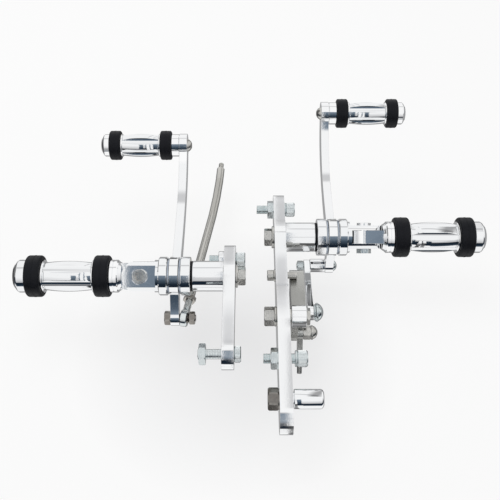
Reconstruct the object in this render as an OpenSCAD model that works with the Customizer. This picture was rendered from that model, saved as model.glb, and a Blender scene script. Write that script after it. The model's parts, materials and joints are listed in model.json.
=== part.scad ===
// Forward controls for a motorcycle: a shift side and a brake side.
// Each side is a mounting plate, a pivot tube, a foot lever and a folding foot peg.
// +X is the rider's right, +Y is forward and +Z is up.
// The origin is on the shift plate's inner face, midway between its two mounting bolts.
// Modules inside at_shift() and at_brake() measure X outwards from the plate's outer face,
// and Y and Z from the foot peg's axis.

/* [Layout] */
// Gap between the inner faces of the two plates
plate_gap = 41; // [35:1:300]
// How far the brake side's peg axis is ahead of the shift side's
side_lead = 56; // [0:1:80]

/* [Plates] */
// Thickness of both plates
plate_t = 12; // [9:0.5:14]
// Distance from the pivot tube to the axis of the shift plate's front bolt
front_bolt_gap = 7.125; // [6:0.125:20]
// Shift plate: rear bolt behind the peg axis
shift_rear_y = 98; // [70:1:120]
// Radius of the round ends of the shift plate
shift_end_r = 15; // [12:0.5:18]
// Radius of the lobe around each peg axis
lobe_r = 19; // [18:0.5:24]
// Half height of the shift plate at its waist
waist_h = 11.5; // [9:0.5:14]
// Brake plate: front bolt ahead of the peg axis
brake_front_y = 43; // [38:1:60]
// Brake plate: crank pivot behind the peg axis
crank_y = 108.7; // [104:0.5:112]
// Brake plate: rear bolt behind the peg axis
brake_rear_y = 159; // [150:1:165]
// Brake plate: stand-off post behind the peg axis
post_y = 203; // [195:1:215]
// Brake plate: distance from the post to the plate's rear centre
post_to_end = 18; // [10:1:24]
// Radius of the round ends of the brake plate
brake_end_r = 16; // [13:0.5:18]
// Height of the brake plate's top edge above the crank pivot
hump_h = 26; // [20:0.5:30]
// Depth of the brake plate's bottom edge below the crank pivot
belly_h = 19; // [16:0.5:24]

/* [Pivot stack] */
// Diameter of the pivot tube
tube_d = 31.75; // [28:0.25:36]
// Length of the pivot tube
tube_len = 32; // [26:1:38]
// Thickness of the rubber seal between tube and collar
seal_w = 2; // [1.5:0.1:3]
// Diameter of the collar and of the clevis shoulder
flange_d = 40; // [38:0.5:42]
// Width of the collar
collar_w = 10; // [7:0.5:12]
// Width of the clevis shoulder
shoulder_w = 9; // [6:0.5:11]
// Thickness of each thrust washer
washer_t = 2; // [1:0.1:2.5]
// Diameter of the thrust washers
washer_d = 37; // [30:0.5:38]
// Diameter of the spindle inside the tube
spindle_d = 22; // [19:0.5:24]
// Radial running clearance of a shaft in its bore
run_fit = 0.05; // [0.02:0.01:0.09]
// Clearance between faces that move past each other
side_play = 0.3; // [0.25:0.05:0.4]

/* [Fasteners] */
// Diameter of the axle bolt in the spindle
axle_d = 12; // [10:0.5:14]
// Width across flats of the axle bolt's head
axle_af = 17; // [16:0.5:19]
// Height of the axle bolt's head
axle_head_h = 8; // [6:0.5:10]
// Diameter of the washer under the axle bolt's head
axle_washer_d = 24; // [22:0.5:28]
// Thickness of the washer under the axle bolt's head
axle_washer_t = 2.5; // [1.5:0.1:3.5]
// Length of the axle bolt inside the spindle
axle_grip = 24; // [16:1:36]
// Diameter of the mounting bolts
bolt_d = 9.5; // [8:0.5:10]
// Diameter of a mounting bolt's socket head
bolt_head_d = 15.5; // [14:0.5:17]
// Height of a mounting bolt's socket head
bolt_head_h = 10; // [8:0.5:11]
// Depth of the hex sockets
socket_depth = 5; // [3:0.5:6]
// Width across flats of the hex sockets
socket_af = 8; // [6:0.5:8]
// Width across flats of the mounting bolts' nuts
nut_af = 18; // [16:0.5:19]
// Thickness of the mounting bolts' nuts
nut_t = 6.5; // [5:0.5:9]
// Thickness of the mounting bolts' washers
bolt_washer_t = 2; // [1:0.1:2.5]
// Gap between the shift plate and the nut on its loose rear bolt
loose_nut_gap = 15; // [1:1:20]
// Gap between the brake plate and the washer of its rear bolt
loose_head_gap = 4.4; // [0:0.2:8]

/* [Clevis and foot peg] */
// Diameter of the clevis
clevis_d = 33.5; // [32:0.5:36]
// Width across the clevis flats
clevis_flat = 25; // [23:0.5:27]
// Width of the clevis slot
slot_w = 14.5; // [12:0.5:15]
// Distance from the clevis shoulder to the peg pin
pin_reach = 19; // [18:0.5:24]
// Distance from the peg pin to the ends of the clevis ears
ear_reach = 18.5; // [17:0.5:20]
// Diameter of the peg pin
pin_d = 10; // [8:0.5:11]
// Diameter of the peg pin's head
pin_head_d = 15; // [13:0.5:16]
// Height of the peg pin's head and of its nut
pin_head_h = 5; // [4:0.5:6]
// Depth of the counterbore under the peg pin's head
counterbore = 2; // [1:0.1:2.5]
// Diameter of the peg's metal collar and of its end cap
peg_d = 34; // [32:0.5:37]
// Width of the peg's metal collar
peg_collar_w = 9; // [7:0.5:12]
// Outer diameter of the peg's rubber rings
ring_d = 43.2; // [40:0.2:46]
// Width of the peg's rubber rings
ring_w = 16; // [12:0.5:18]
// Greatest diameter of the fluted grip
grip_d = 33; // [30:0.5:35]
// Length of the fluted grip
grip_len = 53.5; // [40:0.5:60]
// Length of the domed end cap
cap_len = 13; // [9:0.5:16]
// Number of flutes round a grip
flutes = 6; // [5:1:8]
// Angle that the shift side's peg pin leans back from upright
shift_pin_tilt = 43; // [0:1:60]
// Angle that the brake side's peg pin leans forward from upright
brake_pin_tilt = 47; // [0:1:60]

/* [Levers] */
// Thickness of both levers
lever_t = 9; // [7:0.5:10]
// Diameter of the lever hubs
hub_d = 40; // [38:0.5:44]
// Width of the lever arms beside the hub
arm_root_w = 21; // [18:0.5:24]
// Width of the lever arms beside the toe eye
arm_tip_w = 14; // [11:0.5:17]
// Shift lever: toe eye ahead of the hub
shift_toe_y = 182; // [170:1:190]
// Shift lever: toe eye above the hub
shift_toe_z = 25; // [15:1:35]
// Brake pedal: toe eye ahead of the hub
brake_toe_y = 165; // [155:1:175]
// Brake pedal: toe eye above the hub
brake_toe_z = 42; // [30:1:50]
// Shift lever: tail eye behind the hub
shift_tail_y = 29; // [26:1:32]
// Shift lever: tail eye below the hub
shift_tail_z = 33; // [31:1:36]
// Brake pedal: tail eye behind the hub
brake_tail_y = 1; // [0:0.5:3]
// Brake pedal: tail eye below the hub
brake_tail_z = 45; // [44:0.5:47]
// Diameter of the tail eyes
tail_d = 16; // [14:0.5:17]

/* [Toe pegs] */
// Diameter of the toe pegs
toe_d = 27; // [24:0.5:30]
// Outer diameter of the toe pegs' rubber rings
toe_ring_d = 34; // [31:0.5:37]
// Width of the toe pegs' rubber rings
toe_ring_w = 13; // [10:0.5:15]
// Length of a toe peg's fluted grip
toe_grip_len = 46; // [38:1:54]
// Length of a toe peg's collar and of its end cap
toe_end_len = 9.5; // [7:0.5:12]
// Diameter of the bolt that holds a toe peg
toe_bolt_d = 8; // [6:0.5:9]
// Length of that bolt inside its toe peg
toe_bolt_grip = 24; // [16:1:40]

/* [Shift rod] */
// Length of the shift rod from the lever's tail eye to its tip
rod_len = 247; // [220:1:270]
// Diameter of the shift rod
rod_d = 9.5; // [8:0.5:11]
// Angle that the shift rod leans towards the plate
rod_yaw = 9; // [6:0.5:10]
// Angle of the shift rod's gentle bend
rod_bend = 6; // [3:0.5:8]
// Outer diameter of the rod end's eye
rod_eye_d = 18; // [17:0.5:19]
// Width of the rod end's eye
rod_eye_w = 7; // [6:0.5:8]
// Diameter of the ball in the rod end
rod_ball_d = 13; // [12:0.25:13.5]
// Diameter of the linkage bolts
link_bolt_d = 7; // [6:0.5:7.5]

/* [Brake linkage] */
// Thickness of the brake link
link_t = 6.5; // [5:0.5:7]
// Width of the brake link
link_w = 13; // [11:0.5:14]
// Distance from the plate to the brake link
link_u = 22.5; // [22:0.5:23.5]
// Clearance of the pin in the link's rear eye
open_eye_fit = 0.45; // [0.4:0.05:0.5]
// Thickness of the crank
crank_t = 14.5; // [13:0.5:15]
// Distance from the plate to the crank
crank_gap = 3; // [2:0.5:4]
// Diameter of the crank's hub
crank_hub_d = 22; // [20:0.5:24]
// Diameter of the crank's pivot bolt
crank_bolt_d = 10; // [8:0.5:11]
// Crank's link eye behind the peg axis
crank_eye_y = 72; // [70:0.5:74]
// Crank's link eye below the peg axis
crank_eye_z = 40; // [38:0.5:42]
// Crank's push rod eye behind the peg axis
output_y = 104.5; // [102:0.5:107]
// Crank's push rod eye below the peg axis
output_z = 32; // [30:0.5:34]
// Crank's stop arm: distance from the pivot bolt to its round tip
stop_arm_len = 54; // [50:0.5:56]
// Length of the push rod
push_len = 34; // [28:1:40]
// Diameter of the domed bolt in the crank's link eye
dome_d = 20; // [16:0.5:22]
// Diameter of the stand-off post
post_d = 18; // [16:0.5:22]
// Length of the stand-off post
post_len = 27; // [20:1:34]

/* [Hidden] */
$fn = 64;

alu = [0.86, 0.87, 0.88];
alu_grey = [0.66, 0.67, 0.68];
steel = [0.58, 0.56, 0.53];
zinc = [0.74, 0.80, 0.82];
rubber = [0.05, 0.05, 0.055];

// Places along X, outwards from a plate's outer face
collar_u = tube_len + seal_w;
washer_u = collar_u + collar_w;
lever_u = washer_u + washer_t + side_play;
outer_washer_u = lever_u + lever_t + side_play;
shoulder_u = outer_washer_u + washer_t;
clevis_u = shoulder_u + shoulder_w;
pin_u = clevis_u + pin_reach;
ear_end_u = pin_u + ear_reach;
toe_u = lever_u + lever_t;

shift_front_y = tube_d / 2 + front_bolt_gap;
shift_hub_y = (shift_rear_y - shift_front_y) / 2;
brake_hub_y = shift_hub_y + side_lead;
flute_r = 7;
flange_t = 2;

// Bare thread that shows past a mounting bolt's nut, drawn at its mean diameter
thread_d = bolt_d - 0.5;
front_nut_t = 6;
shift_front_end = 10;
brake_front_end = 12;
brake_rear_end = 7;
shift_rear_end = 1;

// Foot peg, outwards from its pin
tongue_r = 13.5;
tongue_t = slot_w - 2 * side_play;
neck_u = ear_reach + 2 * side_play;
peg_collar_u = neck_u + 3.5;
seat_u = peg_collar_u + peg_collar_w;
grip_u = seat_u + ring_w;
grip_end_u = grip_u + grip_len;
cap_u = grip_end_u + ring_w;
seat_d = peg_d - 6;

// Toe peg, outwards from its lever
toe_seat_d = toe_d - 6;
toe_grip_u = toe_end_len + toe_ring_w;
toe_cap_u = toe_grip_u + toe_grip_len + toe_ring_w;

// Shift rod, forward from the lever's tail
link_nut_t = 6;
link_nut_af = 12;
rod_start = rod_eye_d / 2 + 19;
eye_chamfer = 0.8;
rod_ball_w = rod_eye_w * cos(rod_yaw) + (rod_eye_d - 2 * eye_chamfer) * sin(rod_yaw) + 2 * side_play;
rod_ball_u = lever_u - rod_ball_w;
rod_straight = rod_len * 0.62;
rod_bends = 3;
tip_len = 10;

// Brake linkage
stop_d = 7;
stop_y = 62;
stop_z = 8;
stop_arm_y = crank_y - stop_arm_len;
stop_arm_r = 7.5;
stop_arm_z = stop_z - stop_d / 2 - side_play - stop_arm_r;
lower_t = 7;
eye_d = 17;
spacer_u = link_u + link_t + side_play;
dome_u = link_u + link_t + side_play + 2;
push_t = 5.5;
push_w = 10;
push_rod_d = push_t - 0.4;
push_u = crank_gap + lower_t + side_play;
push_head_u = push_u + push_t + side_play;
push_tilt = 55;
crank_pin_d = 8;
post_stud = 10;
post_washer_t = 1.6;
post_washer_d = 13;

// Frames and basic solids

module at_shift() translate([-plate_t, shift_hub_y, 0]) mirror([1, 0, 0]) children();
module at_brake() translate([plate_gap + plate_t, brake_hub_y, 0]) children();

// Flat outlines drawn in Y and Z, each given thickness along X
module slab(u, t) translate([u, 0, 0]) rotate([90, 0, 90])
    for (i = [0:$children - 1]) linear_extrude(t) children(i);

// A profile drawn as radius and height, turned about the X axis
module turned(u = 0) translate([u, 0, 0]) rotate([0, 90, 0]) rotate_extrude() children();

module bar(u, len, d, y = 0, z = 0) translate([u, y, z]) rotate([0, 90, 0]) cylinder(d = d, h = len);

// A disc with chamfered rims, along X
module disc(u, len, d, c = 0.6, y = 0, z = 0)
    translate([u, y, z]) turned()
        polygon([[0, 0], [d / 2 - c, 0], [d / 2, c], [d / 2, len - c], [d / 2 - c, len], [0, len]]);

// A hex prism with its corners turned off, along X
module hex(u, len, af, c = 0.9, y = 0, z = 0)
    translate([u, y, z]) intersection() {
        rotate([0, 90, 0]) cylinder(r = af / sqrt(3), h = len, $fn = 6);
        disc(0, len, 2 * af / sqrt(3), c);
    }

// A domed head that stands h high on a round base, along X
module dome(u, d, h) {
    dome_r = (d * d / 4 + h * h) / (2 * h);
    turned(u) intersection() {
        translate([0, h - dome_r]) circle(r = dome_r, $fn = 128);
        square([d / 2, h]);
    }
}

function bezier(p, n) =
    [for (i = [0:n]) let (t = i / n, s = 1 - t)
        s * s * s * p[0] + 3 * s * s * t * p[1] + 3 * s * t * t * p[2] + t * t * t * p[3]];

// Mounting plates

module shift_plate_blank() {
    edge = concat(
        bezier([[-shift_rear_y, shift_end_r - 0.2], [-shift_rear_y * 0.75, waist_h],
                [-shift_rear_y * 0.45, waist_h], [-lobe_r * 0.35, lobe_r * 0.92]], 16),
        [[lobe_r * 0.3, lobe_r * 0.94], [shift_front_y + shift_end_r * 0.2, shift_end_r * 0.97]]);
    mirrored = [for (i = [len(edge) - 1:-1:0]) [edge[i][0], -edge[i][1]]];
    slab(-plate_t, plate_t) {
        translate([shift_front_y, 0]) circle(r = shift_end_r);
        translate([-shift_rear_y, 0]) circle(r = shift_end_r);
        circle(r = lobe_r);
        polygon(concat(edge, mirrored));
    }
}

module brake_plate_blank() {
    end_y = -post_y - post_to_end;
    top = concat(
        [[brake_front_y, brake_end_r], [-crank_y * 0.72, brake_end_r]],
        bezier([[-crank_y * 0.75, brake_end_r + 1], [-crank_y * 0.82, hump_h],
                [-crank_y, hump_h], [-crank_y * 1.25, hump_h - 2]], 10),
        bezier([[-crank_y * 1.3, hump_h - 3], [-brake_rear_y, brake_end_r + 4],
                [-post_y, brake_end_r + 1], [end_y, brake_end_r]], 8));
    bottom = concat(
        [[end_y, -brake_end_r], [-post_y, -brake_end_r]],
        bezier([[-brake_rear_y * 1.1, -brake_end_r], [-crank_y * 1.35, -belly_h],
                [-crank_y * 0.75, -belly_h], [-crank_y * 0.5, -brake_end_r]], 12),
        [[brake_front_y, -brake_end_r]]);
    slab(-plate_t, plate_t) {
        translate([brake_front_y, 0]) circle(r = brake_end_r);
        translate([end_y, 0]) circle(r = brake_end_r);
        circle(r = lobe_r);
        polygon(concat(top, bottom));
    }
}

module left_plate() color(alu) at_shift() difference() {
    shift_plate_blank();
    bar(-plate_t - 1, plate_t + 2, axle_d + 2 * run_fit);
    for (y = [shift_front_y, -shift_rear_y]) bar(-plate_t - 1, plate_t + 2, bolt_d + 2 * run_fit, y);
}

module right_plate() color(alu) at_brake() difference() {
    brake_plate_blank();
    bar(-plate_t - 1, plate_t + 2, axle_d + 2 * run_fit);
    for (y = [brake_front_y, -brake_rear_y, -post_y])
        bar(-plate_t - 1, plate_t + 2, bolt_d + 2 * run_fit, y);
    bar(-plate_t - 1, plate_t + 2, crank_bolt_d + 2 * run_fit, -crank_y);
    bar(-plate_t - 1, plate_t + 2, stop_d + 2 * run_fit, -stop_y, stop_z);
}

// Bolts and nuts

// A socket head at u, facing outwards when out is 1 and inwards when it is -1
module socket_head(u, d, h, out, y = 0, z = 0) difference() {
    disc(out > 0 ? u : u - h, h, d, 0.8, y, z);
    translate([out > 0 ? u + h - socket_depth : u - h - 1, y, z]) rotate([0, 90, 0])
        cylinder(r = socket_af / sqrt(3), h = socket_depth + 1, $fn = 6);
}

module nut(u, t, af, bore, y = 0, z = 0) difference() {
    hex(u, t, af, 0.8, y, z);
    bar(u - 1, t + 2, bore + 2 * run_fit, y, z);
}

module ring(u, t, d, bore, y = 0, z = 0) difference() {
    disc(u, t, d, min(0.5, t / 4), y, z);
    bar(u - 1, t + 2, bore + 2 * run_fit, y, z);
}

module left_front_bolt() color(zinc) at_shift() {
    bar(-plate_t - 0.01, plate_t + front_nut_t + 0.01, bolt_d, shift_front_y);
    bar(0, front_nut_t + shift_front_end, thread_d, shift_front_y);
    socket_head(-plate_t, bolt_head_d, bolt_head_h, -1, shift_front_y);
}

// Round nut, scalloped so that it lies against the pivot tube and can't turn
module left_front_nut() color(alu) at_shift() difference() {
    ring(0, front_nut_t, nut_af, bolt_d, shift_front_y);
    bar(-1, front_nut_t + 2, tube_d + 2 * side_play);
}

module left_rear_bolt() color(zinc) at_shift() {
    bar(-plate_t - 0.01, plate_t + loose_nut_gap + nut_t + shift_rear_end, bolt_d, -shift_rear_y);
    socket_head(-plate_t, bolt_head_d, bolt_head_h * 0.65, -1, -shift_rear_y);
}

module left_rear_nut() color(zinc) at_shift()
    nut(loose_nut_gap, nut_t, nut_af, bolt_d, -shift_rear_y);

module right_front_bolt() color(zinc) at_brake() {
    bar(-plate_t - nut_t - brake_front_end, plate_t + brake_front_end, thread_d, brake_front_y);
    bar(-plate_t - nut_t, plate_t + nut_t + bolt_washer_t, bolt_d, brake_front_y);
    ring_solid(0, bolt_washer_t, bolt_head_d, brake_front_y);
    socket_head(bolt_washer_t, bolt_head_d, bolt_head_h, 1, brake_front_y);
}

module ring_solid(u, t, d, y = 0, z = 0) disc(u, t, d, 0.3, y, z);

module right_front_nut() color(zinc) at_brake()
    nut(-plate_t - nut_t, nut_t, nut_af, bolt_d, brake_front_y);

module right_rear_bolt() color(zinc) at_brake() {
    bar(-plate_t - nut_t - brake_rear_end, plate_t + brake_rear_end, thread_d, -brake_rear_y);
    bar(-plate_t - nut_t, plate_t + nut_t + loose_head_gap, bolt_d, -brake_rear_y);
    ring_solid(loose_head_gap, bolt_washer_t, bolt_head_d, -brake_rear_y);
    socket_head(loose_head_gap + bolt_washer_t, bolt_head_d, bolt_head_h, 1, -brake_rear_y);
}

module right_rear_nut() color(zinc) at_brake()
    nut(-plate_t - nut_t, nut_t, nut_af, bolt_d, -brake_rear_y);

module axle_bolt() color(zinc) {
    bar(-plate_t - axle_washer_t - 0.01, plate_t + axle_washer_t + axle_grip, axle_d);
    hex(-plate_t - axle_washer_t - axle_head_h, axle_head_h, axle_af);
}

module axle_washer() color(zinc) ring(-plate_t - axle_washer_t, axle_washer_t, axle_washer_d, axle_d);

module left_axle_bolt() at_shift() axle_bolt();
module right_axle_bolt() at_brake() axle_bolt();
module left_axle_washer() at_shift() axle_washer();
module right_axle_washer() at_brake() axle_washer();

// Pivot stack between a plate and its clevis

module pivot_tube() color(alu) ring(0, tube_len, tube_d, spindle_d);

module seal_ring() color(rubber)
    turned(collar_u - seal_w / 2) translate([tube_d / 2 - seal_w / 2, 0]) circle(d = seal_w - 0.1);

module collar() color(alu) ring(collar_u, collar_w, flange_d, spindle_d);

module thrust_washers() color(alu_grey) for (u = [washer_u, outer_washer_u])
    ring(u, washer_t, washer_d, spindle_d);

module left_pivot_tube() at_shift() pivot_tube();
module right_pivot_tube() at_brake() pivot_tube();
module left_seal_ring() at_shift() seal_ring();
module right_seal_ring() at_brake() seal_ring();
module left_collar() at_shift() collar();
module right_collar() at_brake() collar();
module left_thrust_washers() at_shift() thrust_washers();
module right_thrust_washers() at_brake() thrust_washers();

// Clevis, with its spindle; tilt turns the pin about the X axis
module clevis(tilt) color(alu) rotate([tilt, 0, 0]) difference() {
    union() {
        bar(0, shoulder_u + 1, spindle_d);
        disc(shoulder_u, shoulder_w, flange_d, 0.8);
        intersection() {
            bar(clevis_u - 1, pin_reach + ear_reach + 2, clevis_d);
            union() {
                translate([clevis_u - 2, -clevis_d, -clevis_d])
                    cube([ear_end_u - clevis_d / 2 - clevis_u + 2, 2 * clevis_d, 2 * clevis_d]);
                translate([ear_end_u - clevis_d / 2, 0, -clevis_d])
                    cylinder(r = clevis_d / 2 + 0.2, h = 2 * clevis_d);
            }
        }
    }
    for (side = [0, 1]) mirror([0, 0, side])
        translate([clevis_u + 3, -clevis_d, clevis_flat / 2])
            cube([clevis_d + ear_reach, 2 * clevis_d, clevis_d]);
    translate([pin_u - tongue_r - 1, -clevis_d, -slot_w / 2]) cube([2 * clevis_d, 2 * clevis_d, slot_w]);
    translate([pin_u, 0, -clevis_d]) cylinder(d = pin_d + 2 * run_fit, h = 2 * clevis_d);
    translate([pin_u, 0, clevis_flat / 2 - counterbore]) cylinder(d = pin_head_d + 2.5, h = clevis_d);
    bar(-1, axle_grip + 2, axle_d + 2 * run_fit);
}

// Screw through the ears, head up and nut down
module peg_pin(tilt) color(zinc) rotate([tilt, 0, 0]) translate([pin_u, 0, 0]) difference() {
    union() {
        translate([0, 0, -clevis_flat / 2 - pin_head_h]) cylinder(d = pin_d, h = clevis_flat + pin_head_h);
        translate([0, 0, clevis_flat / 2 - counterbore]) cylinder(d = pin_head_d, h = pin_head_h);
    }
    translate([0, 0, clevis_flat / 2 - counterbore + pin_head_h - 3])
        cylinder(r = socket_af / sqrt(3), h = 4, $fn = 6);
}

module peg_nut(tilt) color(zinc) rotate([tilt, 0, 0])
    translate([pin_u, 0, -clevis_flat / 2 - pin_head_h]) difference() {
        cylinder(d = pin_head_d + 1, h = pin_head_h, $fn = 6);
        translate([0, 0, -1]) cylinder(d = pin_d + 2 * run_fit, h = pin_head_h + 2);
    }

module left_clevis() at_shift() clevis(shift_pin_tilt);
module right_clevis() at_brake() clevis(-brake_pin_tilt);
module left_peg_pin() at_shift() peg_pin(shift_pin_tilt);
module right_peg_pin() at_brake() peg_pin(-brake_pin_tilt);
module left_peg_nut() at_shift() peg_nut(shift_pin_tilt);
module right_peg_nut() at_brake() peg_nut(-brake_pin_tilt);

// Foot pegs, measured outwards from the peg pin

// A barrel along X, thickest in the middle, with flutes cut by straight round tools
module fluted_grip(u, len, d, drop, tool_r) {
    half = len / 2;
    arc_r = (half * half + drop * drop) / (2 * drop);
    difference() {
        turned(u) intersection() {
            translate([d / 2 - arc_r, half]) circle(r = arc_r, $fn = 360);
            square([d / 2 + 1, len]);
        }
        for (i = [0:flutes - 1]) rotate([i * 360 / flutes, 0, 0])
            bar(u - 1, len + 2, 2 * tool_r, d / 2 - drop / 2 + tool_r - 1.4);
    }
}

module foot_peg(tilt) color(alu) rotate([tilt, 0, 0]) translate([pin_u, 0, 0]) difference() {
    union() {
        translate([0, 0, -tongue_t / 2]) cylinder(r = tongue_r, h = tongue_t);
        translate([0, -tongue_r, -tongue_t / 2]) cube([neck_u + 1, 2 * tongue_r, tongue_t]);
        turned(neck_u) polygon([[0, 0], [tongue_r, 0], [peg_d / 2 - 1.5, 3], [peg_d / 2 - 1.5, 5], [0, 5]]);
        difference() {
            disc(peg_collar_u, peg_collar_w, peg_d, 1);
            turned(peg_collar_u + peg_collar_w * 0.45) translate([peg_d / 2 - 0.7, 0]) square([2, 1.2]);
        }
        bar(peg_collar_u, cap_u - peg_collar_u, seat_d);
        fluted_grip(grip_u, grip_len, grip_d, 2.6, flute_r);
        for (u = [grip_u, grip_end_u - flange_t]) disc(u, flange_t, peg_d, 0.6);
        bar(cap_u - 1, 9, seat_d / 2);
    }
    translate([0, 0, -slot_w]) cylinder(d = pin_d + 2 * run_fit, h = 2 * slot_w);
}

// Rubber ring with rounded shoulders and a faint rib at its middle
module rubber_ring(u, w, d, bore, round_r) color(rubber) turned(u) {
    translate([bore / 2, 0]) square([d / 2 - round_r - bore / 2, w]);
    translate([bore / 2, round_r]) square([d / 2 - bore / 2, w - 2 * round_r]);
    for (h = [round_r, w - round_r]) translate([d / 2 - round_r, h]) circle(r = round_r);
    translate([d / 2 - 1, w / 2 - 0.5]) square([1.2, 1]);
}

module peg_ring(tilt, u) rotate([tilt, 0, 0]) translate([pin_u, 0, 0])
    rubber_ring(u, ring_w, ring_d, seat_d + 2 * run_fit, 2.5);

// Domed and chamfered end cap with a blind bore
module end_cap(u, len, d, stud, depth) color(alu) difference() {
    turned(u) polygon([[0, 0], [d / 2 - 0.6, 0], [d / 2, 0.6], [d / 2, len * 0.62],
        [d / 2 - 1.2, len * 0.76], [d / 2 - 4, len * 0.92], [d / 2 - 5, len], [0, len]]);
    bar(u - 1, depth + 1, stud);
}

module peg_cap(tilt) rotate([tilt, 0, 0]) translate([pin_u, 0, 0])
    end_cap(cap_u, cap_len, peg_d, seat_d / 2 + 2 * run_fit, 8.2);

module left_peg() at_shift() foot_peg(shift_pin_tilt);
module right_peg() at_brake() foot_peg(-brake_pin_tilt);
module left_peg_inner_ring() at_shift() peg_ring(shift_pin_tilt, seat_u);
module right_peg_inner_ring() at_brake() peg_ring(-brake_pin_tilt, seat_u);
module left_peg_outer_ring() at_shift() peg_ring(shift_pin_tilt, grip_end_u);
module right_peg_outer_ring() at_brake() peg_ring(-brake_pin_tilt, grip_end_u);
module left_peg_cap() at_shift() peg_cap(shift_pin_tilt);
module right_peg_cap() at_brake() peg_cap(-brake_pin_tilt);

// Levers: a flat arm that leaves the hub level and curves up to the toe eye

module arm(toe_y, toe_z, drop) {
    root = arm_root_w / 2;
    tip = arm_tip_w / 2;
    upper = bezier([[4, root - drop], [toe_y * 0.5, root - drop - 2],
                    [toe_y * 0.72, -drop * 0.2], [toe_y - tip, toe_z + tip * 0.9]], 20);
    lower = bezier([[toe_y + tip * 0.9, toe_z - tip], [toe_y * 0.9, -drop * 0.9],
                    [toe_y * 0.62, -root - drop], [4, -root - drop * 0.8]], 20);
    slab(lever_u, lever_t) {
        polygon(concat(upper, lower));
        circle(d = hub_d);
        translate([toe_y, toe_z]) circle(d = toe_d);
    }
}

// A tapering tail from the hub to an eye behind and below it
module tail(tail_y, tail_z) {
    reach = norm([tail_y, tail_z]);
    slab(lever_u, lever_t) {
        translate([-tail_y, -tail_z]) circle(d = tail_d);
        rotate(90 + atan2(-tail_z, -tail_y)) polygon([
            [-tail_d * 0.7, 0], [tail_d * 0.7, 0], [tail_d * 0.42, -reach * 0.75],
            [tail_d * 0.46, -reach], [-tail_d * 0.46, -reach], [-tail_d * 0.42, -reach * 0.75]]);
    }
}

module lever(toe_y, toe_z, tail_y, tail_z, drop) color(alu) difference() {
    union() {
        arm(toe_y, toe_z, drop);
        tail(tail_y, tail_z);
    }
    bar(lever_u - 1, lever_t + 2, spindle_d + 2 * run_fit);
    bar(lever_u - 1, lever_t + 2, toe_bolt_d + 2 * run_fit, toe_y, toe_z);
    bar(lever_u - 1, lever_t + 2, link_bolt_d + 2 * run_fit, -tail_y, -tail_z);
}

module shift_lever() at_shift() lever(shift_toe_y, shift_toe_z, shift_tail_y, shift_tail_z, 10);
module brake_pedal() at_brake() lever(brake_toe_y, brake_toe_z, brake_tail_y, brake_tail_z, 9);

// Toe pegs, placed at a lever's toe eye

module at_toe(y, z) translate([toe_u, y, z]) children();

module toe_peg() color(alu) difference() {
    union() {
        disc(0, toe_end_len, toe_d - 1, 0.8);
        bar(0, toe_cap_u, toe_seat_d);
        fluted_grip(toe_grip_u, toe_grip_len, toe_d, 2, flute_r * 0.8);
        for (u = [toe_grip_u, toe_grip_u + toe_grip_len - flange_t]) disc(u, flange_t, toe_d - 0.5, 0.5);
        end_cap(toe_cap_u - 0.01, toe_end_len, toe_d - 1, 4, 0);
    }
    bar(-1, toe_bolt_grip + 2, toe_bolt_d + 2 * run_fit);
}

module toe_rings() for (u = [toe_end_len, toe_grip_u + toe_grip_len])
    rubber_ring(u, toe_ring_w, toe_ring_d, toe_seat_d + 2 * run_fit, 2);

// Button head on the arm's inner face
module toe_bolt() color(steel) {
    bar(-lever_t - 0.01, lever_t + toe_bolt_grip, toe_bolt_d);
    difference() {
        translate([-lever_t, 0, 0]) rotate([0, 180, 0]) dome(0, 15, 5.5);
        translate([-lever_t - 7, 0, 0]) rotate([0, 90, 0]) cylinder(r = 2.9, h = 4, $fn = 6);
    }
}

module left_toe_peg() at_shift() at_toe(shift_toe_y, shift_toe_z) toe_peg();
module right_toe_peg() at_brake() at_toe(brake_toe_y, brake_toe_z) toe_peg();
module left_toe_rings() at_shift() at_toe(shift_toe_y, shift_toe_z) toe_rings();
module right_toe_rings() at_brake() at_toe(brake_toe_y, brake_toe_z) toe_rings();
module left_toe_bolt() at_shift() at_toe(shift_toe_y, shift_toe_z) toe_bolt();
module right_toe_bolt() at_brake() at_toe(brake_toe_y, brake_toe_z) toe_bolt();

// Shift rod and its ball joint at the shift lever's tail

module at_shift_tail(u) translate([u, -shift_tail_y, -shift_tail_z]) children();
module at_rod() at_shift_tail(rod_ball_u + rod_ball_w / 2) rotate([0, 0, rod_yaw]) children();

module along_y(from, len, d) translate([0, from, 0]) rotate([-90, 0, 0]) cylinder(d = d, h = len);

module shift_link_bolt() color(steel) at_shift_tail(0) {
    bar(rod_ball_u - link_nut_t - 1, rod_ball_w + link_nut_t + 1 + lever_t + 1, link_bolt_d);
    hex(toe_u, 6.5, link_nut_af + 1);
}

module shift_link_nut() color(steel) at_shift_tail(0)
    nut(rod_ball_u - link_nut_t, link_nut_t, link_nut_af, link_bolt_d);

// A ball of diameter d turned about the X axis, cut to width w and drilled along X
module turned_ball(d, w, bore = 0) turned() difference() {
    intersection() {
        circle(d = d, $fn = 128);
        translate([0, -w / 2]) square([d, w]);
    }
    translate([-1, -w]) square([bore / 2 + 1, 2 * w]);
}

module rod_end_ball() color(steel) at_shift_tail(rod_ball_u + rod_ball_w / 2)
    turned_ball(rod_ball_d, rod_ball_w, link_bolt_d + 2 * run_fit);

// Eye with a round socket for the ball, and a threaded shank
module shift_rod_end() color(steel) at_shift() at_rod() difference() {
    union() {
        disc(-rod_eye_w / 2, rod_eye_w, rod_eye_d, eye_chamfer);
        along_y(rod_eye_d / 2 - 1.5, rod_start - rod_eye_d / 2 + 1.5, 7.5);
    }
    turned_ball(rod_ball_d + 2 * run_fit, rod_ball_d);
}

module rod_jam_nut() color(steel) at_shift() at_rod()
    translate([0, rod_start - 5, 0]) rotate([-90, 0, 0]) difference() {
        cylinder(r = link_nut_af / sqrt(3), h = 5, $fn = 6);
        translate([0, 0, -1]) cylinder(d = 7.5 + 2 * run_fit, h = 7);
    }

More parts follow.
